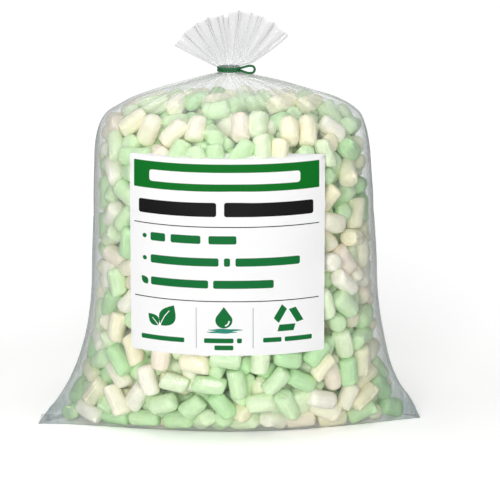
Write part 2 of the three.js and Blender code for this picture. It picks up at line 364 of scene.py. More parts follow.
def settleFill(fixed):
    spots = startSpots(fixed[0])
    loose, total = len(spots), len(spots) + len(fixed[0])
    centre = np.concatenate([spots, fixed[0]])
    along = dice.normal(0, 1, (total, 3))
    wallAt, wallIn = wallSamples()
    wallTree = balancedTree(wallAt)
    nearest = np.array([wallTree.find(point)[1] for point in spots])
    outward = rowsDot(spots - wallAt[nearest], wallIn[nearest])
    hugging = (outward < settling["hugDepth"])[:, None] * settling["hug"]
    along[:loose] -= wallIn[nearest] * rowsDot(along[:loose], wallIn[nearest])[:, None] * hugging
    along[loose:] = fixed[1]
    along = unitRows(along)
    length = peanutShape["length"] * dice.uniform(*peanutShape["lengths"], total)
    radius = peanutShape["radius"] * dice.uniform(*peanutShape["radii"], total)
    length[loose:], radius[loose:] = fixed[2], fixed[3]
    passes = settling["passes"]
    owner = np.tile(np.arange(total), 3)
    placed, placedAlong = centre[loose:].copy(), along[loose:].copy()
    placed[placed[:, 2] < settling["lowRow"]] += settling["lowRowShift"]
    for k in range(passes):  # the peanuts grow to their full size over the first half
        grow = 0.7 + 0.3 * min(1, k / (0.5 * passes))
        soft = radius * settling["squeeze"]
        reach = (length / 2 - radius + 2) * grow
        ends = np.concatenate([centre + along * (t * reach)[:, None] for t in (-1, 0, 1)])
        size = np.tile(soft * grow, 3)
        full = size / settling["squeeze"]
        if k % 3 == 0:
            nearest = np.array([wallTree.find(point)[1] for point in ends])
        ends, worst = pushApart(ends, size, owner, settling["pairReach"] * grow)
        ends[:, 2] -= settling["weight"]
        gap = rowsDot(ends - wallAt[nearest], wallIn[nearest]) - full
        ends = ends + wallIn[nearest] * np.maximum(0, -gap)[:, None]
        ends[:, 2] += np.maximum(0, settling["bottom"] + full - ends[:, 2])
        ends[:, 2] -= np.maximum(0, ends[:, 2] + size - settling["top"])
        low, mid, high = np.split(ends, 3)
        centre = (low + mid + high) / 3
        along = (high - low) / np.maximum(np.linalg.norm(high - low, axis=1, keepdims=True), 1e-6)
        strayed = centre[loose:] - placed  # the frame's own peanuts stay within a few millimetres
        far = np.maximum(np.linalg.norm(strayed, axis=1, keepdims=True) / settling["stray"], 1)
        centre[loose:] = placed + strayed / far
        along[loose:] = unitRows(along[loose:] + settling["holdTurn"] * placedAlong)
    middles = nearest[total:2 * total]
    outward = rowsDot(centre - wallAt[middles], wallIn[middles])
    print(f"{total} peanuts settled, worst overlap {worst:.1f} mm")
    return centre, along, length, radius, loose, outward


def peanutPoints(variant, centre, along, length, radius, roll):
    points = variant * np.array([radius / peanutShape["radius"]] * 2
                                + [length / peanutShape["length"]])
    side = np.cross(along, [0.31, 0.12, 0.94] if abs(along[2]) < 0.8 else [1, 0, 0])
    side /= np.linalg.norm(side)
    other = np.cross(along, side)
    side, other = (math.cos(roll) * side + math.sin(roll) * other,
                   math.cos(roll) * other - math.sin(roll) * side)
    points = centre + points @ np.array([side, other, along])
    points[:, 2] = np.maximum(points[:, 2], peanutShape["floor"])  # pressed flat where it stands
    return points


foamTints = {  # extruded starch foam, dyed pale green or left cream
    "green": ["#d2f0c0", "#dcf4ca", "#c6ebb7", "#e8f8d4", "#d6f1c4"],
    "cream": ["#fefae2", "#fbf7d8", "#fefcea", "#f8f4d3", "#fcf0de"],
}


def foamMaterial():
    # Extruded starch foam: a thin matt skin over fine bubbles, drawn a little along the rod.
    material, tree = newMaterial("extrudedStarchFoam")
    tint = addNode(tree, "ShaderNodeAttribute", {"attribute_name": "foamTint"})
    place = addNode(tree, "ShaderNodeAttribute", {"attribute_name": "foamPlace"})
    drawn = addNode(tree, "ShaderNodeMapping", {"Scale": (1, 1, 0.45)},
                    {"Vector": place.outputs["Vector"]})
    bubbles = addNode(tree, "ShaderNodeTexVoronoi", {"Scale": 620.0, "feature": "F1"},
                      {"Vector": drawn.outputs[0]})  # bubbles of about 1.6 mm
    dents = addNode(tree, "ShaderNodeTexNoise", {"Scale": 210.0, "Detail": 3.0},
                    {"Vector": drawn.outputs[0]})  # dents of about 5 mm
    patches = addNode(tree, "ShaderNodeTexNoise", {"Scale": 95.0, "Detail": 2.0},
                      {"Vector": place.outputs["Vector"]})
    shade = addNode(tree, "ShaderNodeMapRange", {1: 0.3, 2: 0.7, 3: 0.94, 4: 1.03},
                    {0: patches.outputs[0]})
    colour = addNode(tree, "ShaderNodeVectorMath", {"operation": "SCALE"},
                     {0: tint.outputs["Color"], "Scale": shade.outputs[0]})
    fine = addNode(tree, "ShaderNodeBump", {"Strength": 0.3, "Distance": 0.0006},
                   {"Height": bubbles.outputs["Distance"]})
    coarse = addNode(tree, "ShaderNodeBump", {"Strength": 0.75, "Distance": 0.0022},
                     {"Height": dents.outputs[0], "Normal": fine.outputs[0]})
    skin = addNode(tree, "ShaderNodeBsdfPrincipled",
                   {"Roughness": 0.6, "IOR": 1.45, "Subsurface Weight": 0.3, "Subsurface Scale": 0.004,
                    "Subsurface Radius": (0.9, 1.0, 0.7)},
                   {"Base Color": colour.outputs[0], "Normal": coarse.outputs[0]})
    finishMaterial(tree, skin.outputs[0])
    return material


def joinPeanuts(members):
    points, faces, count = [], [], 0
    for i in members:
        variant, variantFaces = peanutVariants[fill["variant"][i]]
        placing = [fill[key][i] for key in ("centre", "along", "length", "radius", "roll")]
        points.append(peanutPoints(variant, *placing))
        faces += [[v + count for v in face] for face in variantFaces]
        count += len(variant)
    return np.concatenate(points), faces


def peanutPiece(name, members, material):
    points, faces = joinPeanuts(members)
    piece = pieceFromMesh(name, points * mm, faces, [material])
    tints, places = [], []
    for i in members:
        variant = peanutVariants[fill["variant"][i]][0]
        tints += [fill["tint"][i]] * len(variant)
        places.append(variant * mm + fill["shift"][i])
    mesh = piece.data
    colour = mesh.color_attributes.new("foamTint", "FLOAT_COLOR", "POINT")
    colour.data.foreach_set("color", np.array(tints).ravel())
    place = mesh.attributes.new("foamPlace", "FLOAT_VECTOR", "POINT")
    place.data.foreach_set("vector", np.concatenate(places).ravel())
    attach(piece, "root")
    return piece


fillMix = {
    "greenOutside": 0.46, "greenInside": 0.82, "outside": 26,  # painted shade: deeper peanuts are mostly green so the shade in the gaps looks green; more cream shows at the film
    "shell": 42,  # depth of the outer pieces
    "sectors": 6, "levels": [160, 320],
}
peanutVariants = [buildPeanutVariant(k) for k in range(peanutShape["variants"])]
centre, along, length, radius, loose, fromWall = settleFill(framePeanuts())
total = len(centre)
# each peanut is green or cream foam; as painted shade, those deeper than fillMix['outside'] are made
# greener, standing in for green shade between them
greenShare = np.where(fromWall < fillMix["outside"], fillMix["greenOutside"], fillMix["greenInside"])
isGreen = dice.uniform(0, 1, total) < greenShare
isGreen[loose:] = [k % 9 < 5 for k in range(total - loose)]  # as the frame has them
fill = {
    "centre": centre, "along": along, "length": length, "radius": radius,
    "roll": dice.uniform(0, 2 * math.pi, total),
    "variant": dice.integers(0, peanutShape["variants"], total),
    "shift": dice.uniform(-0.5, 0.5, (total, 3)),
    "tint": [linearColour(foamTints["green" if green else "cream"][dice.integers(0, 5)])
             for green in isGreen],
}
foam = foamMaterial()
for k in range(total - loose):
    single = peanutPiece(f"peanut{k + 1:02d}", [loose + k], foam)
    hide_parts(f"peanut_{k + 1:02d}")
shell = fromWall[:loose] < fillMix["shell"]
aroundShare = (np.arctan2(centre[:loose, 1], centre[:loose, 0]) / math.pi + 1) / 2
sector = np.floor(aroundShare * (fillMix["sectors"] - 0.002)).astype(int)
levelCount = len(fillMix["levels"]) + 1
part = sector * levelCount + np.digitize(centre[:loose, 2], fillMix["levels"])
fillPieces = []
for k in range(fillMix["sectors"] * levelCount):
    members = np.nonzero(shell & (part == k))[0]
    if len(members):
        fillPieces.append(peanutPiece(f"fillOuter{k + 1:02d}", members, foam))
fillPieces.append(peanutPiece("fillCore", np.nonzero(~shell)[0], foam))
for piece in fillPieces:
    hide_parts("peanut_fill")
print(f"{total} peanuts modelled in {len(fillPieces)} fill pieces and {total - loose} singles")

# film: one lay-flat tube, sealed at the bottom, drawn in at the neck and fanned out above
filmShape = {
    "around": 300,
    "bodyRows": 236,
    "neckRows": 8,
    "fanRows": 56,
    "seamRows": 7,
    "neckRadius": 14,
    "neckLow": 506,
    "neckHigh": 515.5,
    "crowding": 0.035,  # rows lie a little closer at half height
    "floor": 0.25,  # nothing reaches under the floor
}
fanShape = {
    "middle": 93.5, "spread": 59.5, "swing": 4.4,  # degrees
    "length": 87.5, "lean": 3, "droop": 7, "flareLeft": 3, "flareRight": 12,
    "pleats": 9.5, "pleatDepth": 9.0, "gap": 10,
    "shorter": 4.2, "notch": 4,  # the mouth is cut off a little nearer on the left, past a notch
    "cut": 89, "cutWidth": 9,  # degrees, where the notch lies
    "ripple": 0.4,  # of the mouth's edge
}


def fanRow(turn, share):
    # One row of the fan, from the neck at share 0 to the mouth at share 1.
    side = np.sign(np.sin(turn))
    even = 1 - 2 * np.minimum(turn, 2 * math.pi - turn) / math.pi
    blend = min(1, share * 4)
    across = (1 - blend) * np.cos(turn) + blend * even
    phase = 2 * math.pi * fanShape["pleats"] * (1 - across) / 2
    phase = phase + side * (0.9 + 1.1 * np.sin(3.1 * across + 1) + 0.7 * np.sin(7.3 * across))
    strength = share ** 0.75 * (0.8 + 0.2 * np.sin(5.3 * across + 2 * side))
    swing = math.radians(fanShape["swing"]) * strength
    angle = math.radians(fanShape["middle"]) - math.radians(fanShape["spread"]) * across
    lean = np.cos(angle)
    reach = fanShape["length"] + fanShape["lean"] * lean + fanShape["droop"] * lean ** 2
    pastCut = np.degrees(angle) - fanShape["cut"]
    notch = np.exp(-(np.maximum(pastCut, 0) / fanShape["cutWidth"]) ** 2)
    dip = fanShape["shorter"] + fanShape["notch"] * notch
    reach = reach - dip * smoothStep(pastCut, -1, 1)
    reach = reach + fanShape["ripple"] * np.sin(phase + 1) * share
    closing = np.sqrt(np.maximum(0, 1 - np.abs(across) ** 10))
    angle = angle + swing * np.cos(phase) * closing
    spread = math.radians(fanShape["spread"])
    foot = filmShape["neckRadius"] / math.sin(spread)
    centreZ = filmShape["neckHigh"] - filmShape["neckRadius"] / math.tan(spread)
    arm = foot + share * (reach - foot)
    neckGap = filmShape["neckRadius"] * np.abs(np.sin(turn)) ** 0.9
    halfGap = (1 - blend) * neckGap + blend * fanShape["gap"] * closing
    fold = fanShape["pleatDepth"] * strength * (np.sin(phase) + 0.2 * np.sin(2 * phase + 1))
    y = side * halfGap + fold * closing
    flare = np.where(across > 0, fanShape["flareRight"], fanShape["flareLeft"]) * across
    flare = flare * smoothStep(share, 0, 0.14) * (1 - 0.6 * share ** 3)
    return np.stack([arm * np.cos(angle) + flare, y, centreZ + arm * np.sin(angle)], -1)


def filmRows():
    turn = np.linspace(0, 2 * math.pi, filmShape["around"], endpoint=False)
    base = bodyPoint(turn, np.zeros_like(turn))
    rows = []
    for k in range(filmShape["seamRows"]):
        share = k / filmShape["seamRows"]
        rows.append(base * [1, share, 0] + [0, 0, filmShape["floor"]])
    rise = np.linspace(0, 1, filmShape["bodyRows"])
    crowded = filmShape["crowding"] * np.sin(2 * math.pi * rise) * (1 - rise)
    heights = filmShape["neckLow"] * (rise + crowded)
    rows += [bodyPoint(turn, np.full_like(turn, h)) for h in heights]
    r, low, high = (filmShape[key] for key in ("neckRadius", "neckLow", "neckHigh"))
    for k in range(1, filmShape["neckRows"]):
        z = low + (high - low) * k / filmShape["neckRows"]
        rows.append(np.stack([r * np.cos(turn), r * np.sin(turn), np.full_like(turn, z)], -1))
    rows += [fanRow(turn, k / (filmShape["fanRows"] - 1)) for k in range(filmShape["fanRows"])]
    return turn, heights, np.array(rows)


def blurGrid(grid, times):  # columns close round the bag, rows end
    for _ in range(times):
        grid = (grid + np.roll(grid, 1, 1) + np.roll(grid, -1, 1)) / 3
        padded = np.concatenate([grid[:1], grid, grid[-1:]])
        grid = (padded[:-2] + padded[1:-1] + padded[2:]) / 3
    return grid


draping = {
    "above": 8,  # each ray starts this far outside the tube
    "reach": 22,
    "open": 14.0,  # taken where a ray meets no peanut
    "clear": 0.5,
    "headroom": 300,  # above this height the front and back may draw in freely
    "gathered": 502,  # towards this height the gathers leave no slack
    "tautRoom": 1.5,  # along the folded edges
    "sag": 0.10,  # how hard the film pulls in between the peanuts
    "passes": 220,
    "quickPasses": 60,
}


def drapeBody(points, normals):
    # The film is pulled in until it rests on the peanuts, and spans the hollows between them.
    members = np.nonzero(np.r_[shell, np.ones(total - loose, bool)])[0]
    fillPoints, fillFaces = joinPeanuts(members)
    tree = BVHTree.FromPolygons(fillPoints.tolist(), fillFaces)
    rows, columns = points.shape[:2]
    gap = np.full((rows, columns), draping["open"])
    for i in range(rows):
        for j in range(columns):
            start, into = points[i, j], -normals[i, j]
            outside = start - into * draping["above"]
            hit = tree.ray_cast(outside.tolist(), into.tolist(), draping["reach"])
            if hit[0] is not None:
                gap[i, j] = hit[3] - draping["above"]
    height = points[..., 2]
    low = height < draping["headroom"]
    gap = np.minimum(gap - draping["clear"], 0.8 * np.abs(points[..., 1]) * low + 20 * ~low)
    gap = np.minimum(gap, 0.6 + 9 * smoothStep(draping["gathered"] - height, 0, 45))
    gap = np.minimum(gap, 0.2 + 12 * smoothStep(height, 0, 9))
    edge = smoothStep(np.abs(np.cos(turn)), 0.86, 0.98)[None, :]
    gap = np.minimum(gap, draping["tautRoom"] + 12 * (1 - edge))
    offset = np.zeros_like(gap)
    for _ in range(draping["passes"]):
        padded = np.concatenate([offset[:1], offset, offset[-1:]])
        mean = (padded[:-2] + padded[2:] + np.roll(offset, 1, 1) + np.roll(offset, -1, 1)) / 4
        offset = np.minimum(gap, mean + draping["sag"])
    return blurGrid(offset, 1)


creaseCounts = {"neck": 34, "side": 26, "corner": 9, "low": 16}


def filmCreases(turn, heights, arc):
    # Sharp-crested folds, each followed up the bag.
    folds = []  # turn and height at the low end, the same at the high end, mm high, mm wide
    toss = np.random.default_rng(7)
    for k in range(creaseCounts["neck"]):  # short gathers that run up into the neck
        at = 2 * math.pi * (k + toss.uniform(-0.4, 0.4)) / creaseCounts["neck"]
        folds.append((at + toss.normal(0, 0.05), toss.uniform(425, 476), at, 505,
                      toss.uniform(0.8, 2.6), toss.uniform(2.0, 5.0)))
    for k in range(creaseCounts["side"]):  # longer ones beside the two folded edges
        side = (0 if k % 2 else math.pi) + toss.choice([-1, 1]) * toss.uniform(0.02, 0.55)
        low = toss.uniform(20, 330)
        folds.append((side, low, side + toss.normal(0, 0.09), low + toss.uniform(50, 170),
                      toss.uniform(0.8, 2.4), toss.uniform(1.6, 3.4)))
    for k in range(creaseCounts["corner"] * 4):  # from each corner upwards, front and back
        corner, direction = [(0, 1), (0, -1), (math.pi, 1), (math.pi, -1)][k % 4]
        start = corner + direction * toss.uniform(0.06, 0.32)
        folds.append((start, toss.uniform(1, 10), start + direction * toss.uniform(0.0, 0.4),
                      toss.uniform(60, 190), toss.uniform(0.9, 2.6), toss.uniform(1.6, 3.5)))
    for k in range(creaseCounts["low"]):  # small ones round the foot
        at = toss.uniform(0, 2 * math.pi)
        low = toss.uniform(5, 60)
        folds.append((at, low, at + toss.normal(0, 0.12), low + toss.uniform(20, 70),
                      toss.uniform(0.4, 1.2), toss.uniform(1.5, 3.0)))
    for edge in (0, math.pi):  # the flat tube's own two folded edges
        folds.append((edge, 2, edge, 501, 2.2, 1.8))
        folds.append((edge + 0.16, 380, edge + 0.1, 503, 1.6, 1.6))
        folds.append((edge - 0.2, 400, edge - 0.08, 503, 1.4, 1.6))
    ridge = np.zeros((len(heights), len(turn)))
    for fromTurn, low, toTurn, high, tall, wide in folds:
        share = np.clip((heights - low) / (high - low), 0, 1)[:, None]
        middle = fromTurn + (toTurn - fromTurn) * share + 0.012 * np.sin(9 * share + low)
        away = (turn[None, :] - middle + math.pi) % (2 * math.pi) - math.pi
        inside = smoothStep(heights, low - 4, low + 0.25 * (high - low))
        inside = inside * (1 - smoothStep(heights, high - 0.25 * (high - low), high + 4) * (high < 500))
        profile = np.exp(-np.sqrt((away * arc / wide) ** 2 + 0.05))
        ridge = np.maximum(ridge, profile * tall * inside[:, None])
    return ridge


filmTints = {  # what one pass through the film leaves, the colour of its haze, and the painted grey shade of its edges
    "single": "#fefefe", "doubled": "#f9f9f9", "paintedEdgeGrey": "#bcc7c7", "haze": "#e9eaee",
}


def filmMaterial():
    # LDPE blown film: clear and glossy, with a faint grey haze that gathers where it is seen on edge.
    material, tree = newMaterial("clearBlownFilm")
    place = addNode(tree, "ShaderNodeTexCoord")
    stretch = addNode(tree, "ShaderNodeMapping", {"Scale": (1, 1, 0.4)},
                      {"Vector": place.outputs["Object"]})
    crinkle = addNode(tree, "ShaderNodeTexNoise", {"Scale": 75.0, "Detail": 4.0, "Roughness": 0.6},
                      {"Vector": stretch.outputs[0]})  # creases about 13 mm apart
    dimple = addNode(tree, "ShaderNodeBump", {"Strength": 0.6, "Distance": 0.003},
                     {"Height": crinkle.outputs[0]})
    edge = addNode(tree, "ShaderNodeLayerWeight", {"Blend": 0.5}, {"Normal": dimple.outputs[0]})
    steep = addNode(tree, "ShaderNodeMath", {"operation": "POWER", 1: 2.6}, {0: edge.outputs["Facing"]})
    gathered = addNode(tree, "ShaderNodeAttribute", {"attribute_name": "gathered"})
    hazeEdge = addNode(tree, "ShaderNodeMath", {"operation": "MULTIPLY_ADD", 1: 0.40, 2: 0.015},
                       {0: steep.outputs[0]})
    hazeLess = addNode(tree, "ShaderNodeMapRange", {1: 0.0, 2: 0.1, 3: 1.0, 4: 0.4},
                       {0: gathered.outputs["Fac"]})
    paintedEdgeShade = addNode(tree, "ShaderNodeAttribute", {"attribute_name": "paintedEdgeShade"})
    patchy = addNode(tree, "ShaderNodeMapRange", {1: 0.35, 2: 0.65, 3: 0.65, 4: 1.35},
                     {0: crinkle.outputs[0]})
    veiled = addNode(tree, "ShaderNodeMath", {"operation": "MULTIPLY_ADD", 1: 0.22},
                     {0: paintedEdgeShade.outputs["Fac"], 2: gathered.outputs["Fac"]})
    hazeShare = addNode(tree, "ShaderNodeMath", {"operation": "MULTIPLY_ADD", "use_clamp": True},
                        {0: hazeEdge.outputs[0], 1: hazeLess.outputs[0], 2: veiled.outputs[0]})
    layered = addNode(tree, "ShaderNodeAttribute", {"attribute_name": "layered"})
    glossLess = addNode(tree, "ShaderNodeMapRange", {3: 0.5, 4: 0.2}, {0: layered.outputs["Fac"]})
    glossShare = addNode(tree, "ShaderNodeMath", {"operation": "MULTIPLY_ADD", 2: 0.04},
                         {0: steep.outputs[0], 1: glossLess.outputs[0]})
    tint = addNode(tree, "ShaderNodeMix", {"data_type": "RGBA", 6: linearColour(filmTints["single"]),
                                           7: linearColour(filmTints["doubled"])},
                   {0: layered.outputs["Fac"]})
    # painted shade: what shows through the film is greyed along its edges and low corners
    cast = addNode(tree, "ShaderNodeMath", {"operation": "MULTIPLY", "use_clamp": True},
                   {0: paintedEdgeShade.outputs["Fac"], 1: patchy.outputs[0]})
    greyed = addNode(tree, "ShaderNodeMix",
                     {"data_type": "RGBA", 7: linearColour(filmTints["paintedEdgeGrey"])},
                     {0: cast.outputs[0], 6: tint.outputs[2]})
    clear = addNode(tree, "ShaderNodeBsdfTransparent", None, {"Color": greyed.outputs[2]})
    hazeTint = {"Color": linearColour(filmTints["haze"])}
    hazeBack = addNode(tree, "ShaderNodeBsdfDiffuse", hazeTint)
    hazeThrough = addNode(tree, "ShaderNodeBsdfTranslucent", hazeTint)
    haze = addNode(tree, "ShaderNodeMixShader", {0: 0.4},
                   {1: hazeBack.outputs[0], 2: hazeThrough.outputs[0]})
    shine = addNode(tree, "ShaderNodeBsdfGlossy", {"Roughness": 0.13}, {"Normal": dimple.outputs[0]})
    body = addNode(tree, "ShaderNodeMixShader", None,
                   {0: hazeShare.outputs[0], 1: clear.outputs[0], 2: haze.outputs[0]})
    surface = addNode(tree, "ShaderNodeMixShader", None,
                      {0: glossShare.outputs[0], 1: body.outputs[0], 2: shine.outputs[0]})
    finishMaterial(tree, surface.outputs[0])
    return material


def neckFolds(large, small):
    # The gathers run from the shoulder through the neck.
    return large * np.sin(23 * turn + 1.3 * np.sin(3 * turn)) + small * np.sin(37 * turn + 2)


filmHaze = {
    "gathered": 0.32, "mouth": 0.10, "low": 415, "high": 500,  # the film bunches between these heights
    "edge": 0.52, "corner": 0.4,  # painted shade: a grey cast along the folded edges, and more of it in the corners by the floor
    "edgeReach": 16, "cornerReach": 32, "cornerHeight": 120, "fade": 60,
}


def hazeMaps(rowCount, columnCount):
    # Haze where layers of film lie together, a painted grey shade at the edges and low corners, and the
    # fan's doubled film.
    fanStart = neckRange.stop
    gathered = np.zeros(rowCount)
    bunching = smoothStep(bodyHeights, filmHaze["low"], filmHaze["high"]) ** 1.3
    gathered[bodyRange] = filmHaze["gathered"] * bunching
    gathered[bodyRange.stop:fanStart] = filmHaze["gathered"]
    gathered[fanStart:] = np.linspace(filmHaze["gathered"], filmHaze["mouth"], rowCount - fanStart)
    bunches = np.convolve(np.tile(dice.uniform(0, 1, columnCount), 3), [0.25, 0.5, 0.25], "same")
    bunches = np.clip(1.5 * bunches[columnCount:2 * columnCount], 0.12, 1.5)
    half = sectionAt(bodyHeights)[1][:, None]
    edgeAway = half * (1 - np.abs(np.cos(turn)))[None, :]
    nearFloor = np.clip(1 - bodyHeights / filmHaze["cornerHeight"], 0, 1)[:, None]
    # painted shade: grey along the folded edges, wider and stronger in the corners near the floor
    paintedEdgeShade = np.zeros((rowCount, columnCount))
    reach = filmHaze["edgeReach"] + filmHaze["cornerReach"] * nearFloor
    paintedEdgeShade[bodyRange] = (filmHaze["edge"] + filmHaze["corner"] * nearFloor) * np.exp(-edgeAway / reach)
    paintedEdgeShade[bodyRange] *= smoothStep(filmShape["neckLow"] - bodyHeights, 0, filmHaze["fade"])[:, None]
    layered = np.zeros((rowCount, columnCount))
    layered[fanStart:] = smoothStep(np.linspace(0, 1, rowCount - fanStart), 0.0, 0.2)[:, None]
    return {"gathered": gathered[:, None] * bunches[None, :], "paintedEdgeShade": paintedEdgeShade, "layered": layered}


turn, bodyHeights, filmGrid = filmRows()
bodyRange = slice(filmShape["seamRows"], filmShape["seamRows"] + filmShape["bodyRows"])
neckRange = slice(bodyRange.stop, bodyRange.stop + filmShape["neckRows"] - 1)
bodyGrid = filmGrid[bodyRange].copy()
bodyNormals = gridNormals(bodyGrid)
bodyNormals[0] = bodyNormals[1]
filmOffset = drapeBody(bodyGrid, bodyNormals)
arc = np.linalg.norm(np.roll(bodyGrid, -1, 1) - np.roll(bodyGrid, 1, 1), axis=-1)
arc = np.maximum(arc / (4 * math.pi / filmShape["around"]), 4)
ridges = filmCreases(turn, bodyHeights, arc)
thin = np.minimum(1, smoothStep(bodyHeights, 0, 12))[:, None]
gather = smoothStep(bodyHeights, 450, 499)[:, None]
onTop = (ridges - filmOffset + 1.6 * gather * neckFolds(0.9, 0.5)[None, :]) * thin
filmGrid[bodyRange] = bodyGrid + bodyNormals * onTop[..., None]
filmGrid[neckRange, :, :2] *= 1 + neckFolds(0.09, 0.04)[None, :, None]
filmGrid[..., 2] = np.maximum(filmGrid[..., 2], filmShape["floor"])
mouth = np.linalg.norm(np.roll(filmGrid[-1], -1, 0) - filmGrid[-1], axis=1).sum()
print(f"mouth of the film {mouth:.0f} mm round")
index = np.arange(filmGrid[..., 0].size).reshape(filmGrid.shape[:2])
beside = np.roll(index, -1, 1)
filmFaces = np.stack([index[:-1], beside[:-1], beside[1:], index[1:]], -1).reshape(-1, 4)
bagFilm = pieceFromMesh("bagFilm", filmGrid.reshape(-1, 3) * mm, filmFaces, [filmMaterial()])
for name, values in hazeMaps(*index.shape).items():
    hazeMap = bagFilm.data.attributes.new(name, "FLOAT", "POINT")
    hazeMap.data.foreach_set("value", values.ravel())
editWhole(bagFilm, bpy.ops.mesh.remove_doubles, threshold=0.00002)  # closes the bottom seal
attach(bagFilm, "root")
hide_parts("bag_film")
print("film draped over the fill")

# label: printed face stock, stuck to the front
labelShape = {
    "left": -138, "right": 133, "bottom": 132.8, "top": 407.8,
    "bow": 2.4,  # its sides stand this much higher than its middle
    "corner": 0.012,  # rounding, as a share of its width
    "cells": 30,  # of its own grid, so that it can bend with the film
    "lift": 1.2, "thickness": 0.25,
}


def roundedBar(left, top, right, bottom, radius, steps=4):
    points = []
    for cx, cy, start in ((right - radius, bottom - radius, 0), (left + radius, bottom - radius, 90),
                          (left + radius, top + radius, 180), (right - radius, top + radius, 270)):
        for k in range(steps + 1):
            angle = math.radians(start + 90 * k / steps)
            points.append((cx + radius * math.cos(angle), cy + radius * math.sin(angle)))
    return points


def disc(x, y, radius, steps=16):
    turns = [2 * math.pi * k / steps for k in range(steps)]
    return [(x + radius * math.cos(a), y + radius * math.sin(a)) for a in turns]


def leaf(baseX, baseY, tipX, tipY, belly, steps=8):
    dx, dy = tipX - baseX, tipY - baseY

    def curve(width, first, last):
        out = []
        for k in range(first, last):
            t, w = k / steps, width * math.sin(math.pi * (k / steps) ** 0.85)
            out.append((baseX + dx * t - dy * w, baseY + dy * t + dx * w))
        return out
    return curve(belly, 0, steps + 1) + curve(-0.85 * belly, 1, steps)[::-1]


def strip(points, width):
    out, back = [], []
    for k, (x, y) in enumerate(points):
        ax, ay = points[max(0, k - 1)]
        bx, by = points[min(len(points) - 1, k + 1)]
        size = math.hypot(bx - ax, by - ay)
        w = width if isinstance(width, float) else width[k]
        out.append((x - (by - ay) / size * w / 2, y + (bx - ax) / size * w / 2))
        back.append((x + (by - ay) / size * w / 2, y - (bx - ax) / size * w / 2))
    return out + back[::-1]


def labelPrint():
    # Shapes with x from the left and y down, as shares of the label. Lines of print are plain bars.
    zones = [
        (roundedBar(0, 0, 1, 1, labelShape["corner"]), "paper"),
        (roundedBar(0.027, 0.026, 0.967, 0.158, 0.004), "bannerGreen"),
        (roundedBar(0.115, 0.066, 0.865, 0.122, 0.014), "paper"),
        (roundedBar(0.055, 0.214, 0.452, 0.284, 0.012), "black"),
        (roundedBar(0.490, 0.214, 0.934, 0.284, 0.012), "black"),
        (roundedBar(0.027, 0.3325, 0.966, 0.3375, 0.0015), "black"),
        (roundedBar(0.027, 0.7125, 0.966, 0.7175, 0.0015), "black"),
        (roundedBar(0.350, 0.748, 0.354, 0.960, 0.0012), "grey"),
        (roundedBar(0.629, 0.748, 0.633, 0.960, 0.0012), "grey"),
    ]
    for y, words in ((0.400, [(0.120, 0.198), (0.226, 0.375), (0.414, 0.55)]),
                     (0.513, [(0.120, 0.463), (0.489, 0.519), (0.545, 0.864)]),
                     (0.627, [(0.120, 0.412), (0.436, 0.732)])):
        zones += [(roundedBar(a, y - 0.021, b, y + 0.021, 0.009), "inkGreen") for a, b in words]
    zones += [(disc(0.087, y, 0.0115), "inkGreen") for y in (0.400, 0.513)]
    zones.append((leaf(0.102, 0.648, 0.068, 0.607, 0.37, 6), "inkGreen"))
    for y, words in ((0.922, [(0.064, 0.292)]), (0.920, [(0.390, 0.535), (0.552, 0.576)]),
                     (0.957, [(0.441, 0.534)]), (0.919, [(0.680, 0.772), (0.788, 0.93)])):
        zones += [(roundedBar(a, y - 0.0125, b, y + 0.0125, 0.006), "inkGreen") for a, b in words]
    # two leaves on one stem
    zones.append((leaf(0.172, 0.856, 0.240, 0.745, 0.36, 10), "inkGreen"))
    zones.append((leaf(0.159, 0.858, 0.104, 0.800, 0.36, 8), "inkGreen"))
    largeVein = [(0.165, 0.870), (0.173, 0.840), (0.191, 0.806), (0.216, 0.776)]
    smallVein = [(0.163, 0.863), (0.147, 0.841), (0.126, 0.819)]
    zones += [(strip(largeVein, 0.0042), "paper"), (strip(smallVein, 0.0036), "paper")]
    # a drop over water
    dropX, dropY = 0.488, 0.813
    drop = [(dropX, 0.742)]
    for k in range(15):
        angle = math.radians(-28 + 236 * k / 14)
        drop.append((dropX + 0.042 * math.cos(angle), dropY + 0.041 * math.sin(angle)))
    zones.append((drop, "inkGreen"))
    zones.append((strip([(0.494, 0.842), (0.508, 0.833), (0.515, 0.815)], 0.0075), "paper"))
    for y, left, right, tall in ((0.8630, 0.412, 0.580, 0.011), (0.8745, 0.404, 0.552, 0.010)):
        wave = [(left + (right - left) * k / 14, y + 0.0012 * math.sin(k * 0.9)) for k in range(15)]
        widths = [tall * (0.25 + math.sin(math.pi * k / 14)) for k in range(15)]
        zones.append((strip(wave, widths), "teal"))
    # three bars round a triangle
    ringX, ringY = 0.803, 0.812
    for k in range(3):
        turned = math.radians(120 * k)
        bar = []
        for x, y in ((-0.052, 0.064), (0.030, 0.064), (0.040, 0.029), (-0.042, 0.029)):
            bar.append((ringX + x * math.cos(turned) - y * math.sin(turned),
                        ringY + x * math.sin(turned) + y * math.cos(turned)))
        zones.append((bar, "inkGreen"))
    return zones


labelInks = {  # flat printing inks on white polypropylene face stock
    "paper": "#efefef", "bannerGreen": "#026a1f", "inkGreen": "#0b6a32",
    "black": "#0b0b0d", "grey": "#a2a4a8", "teal": "#2c8670",
}


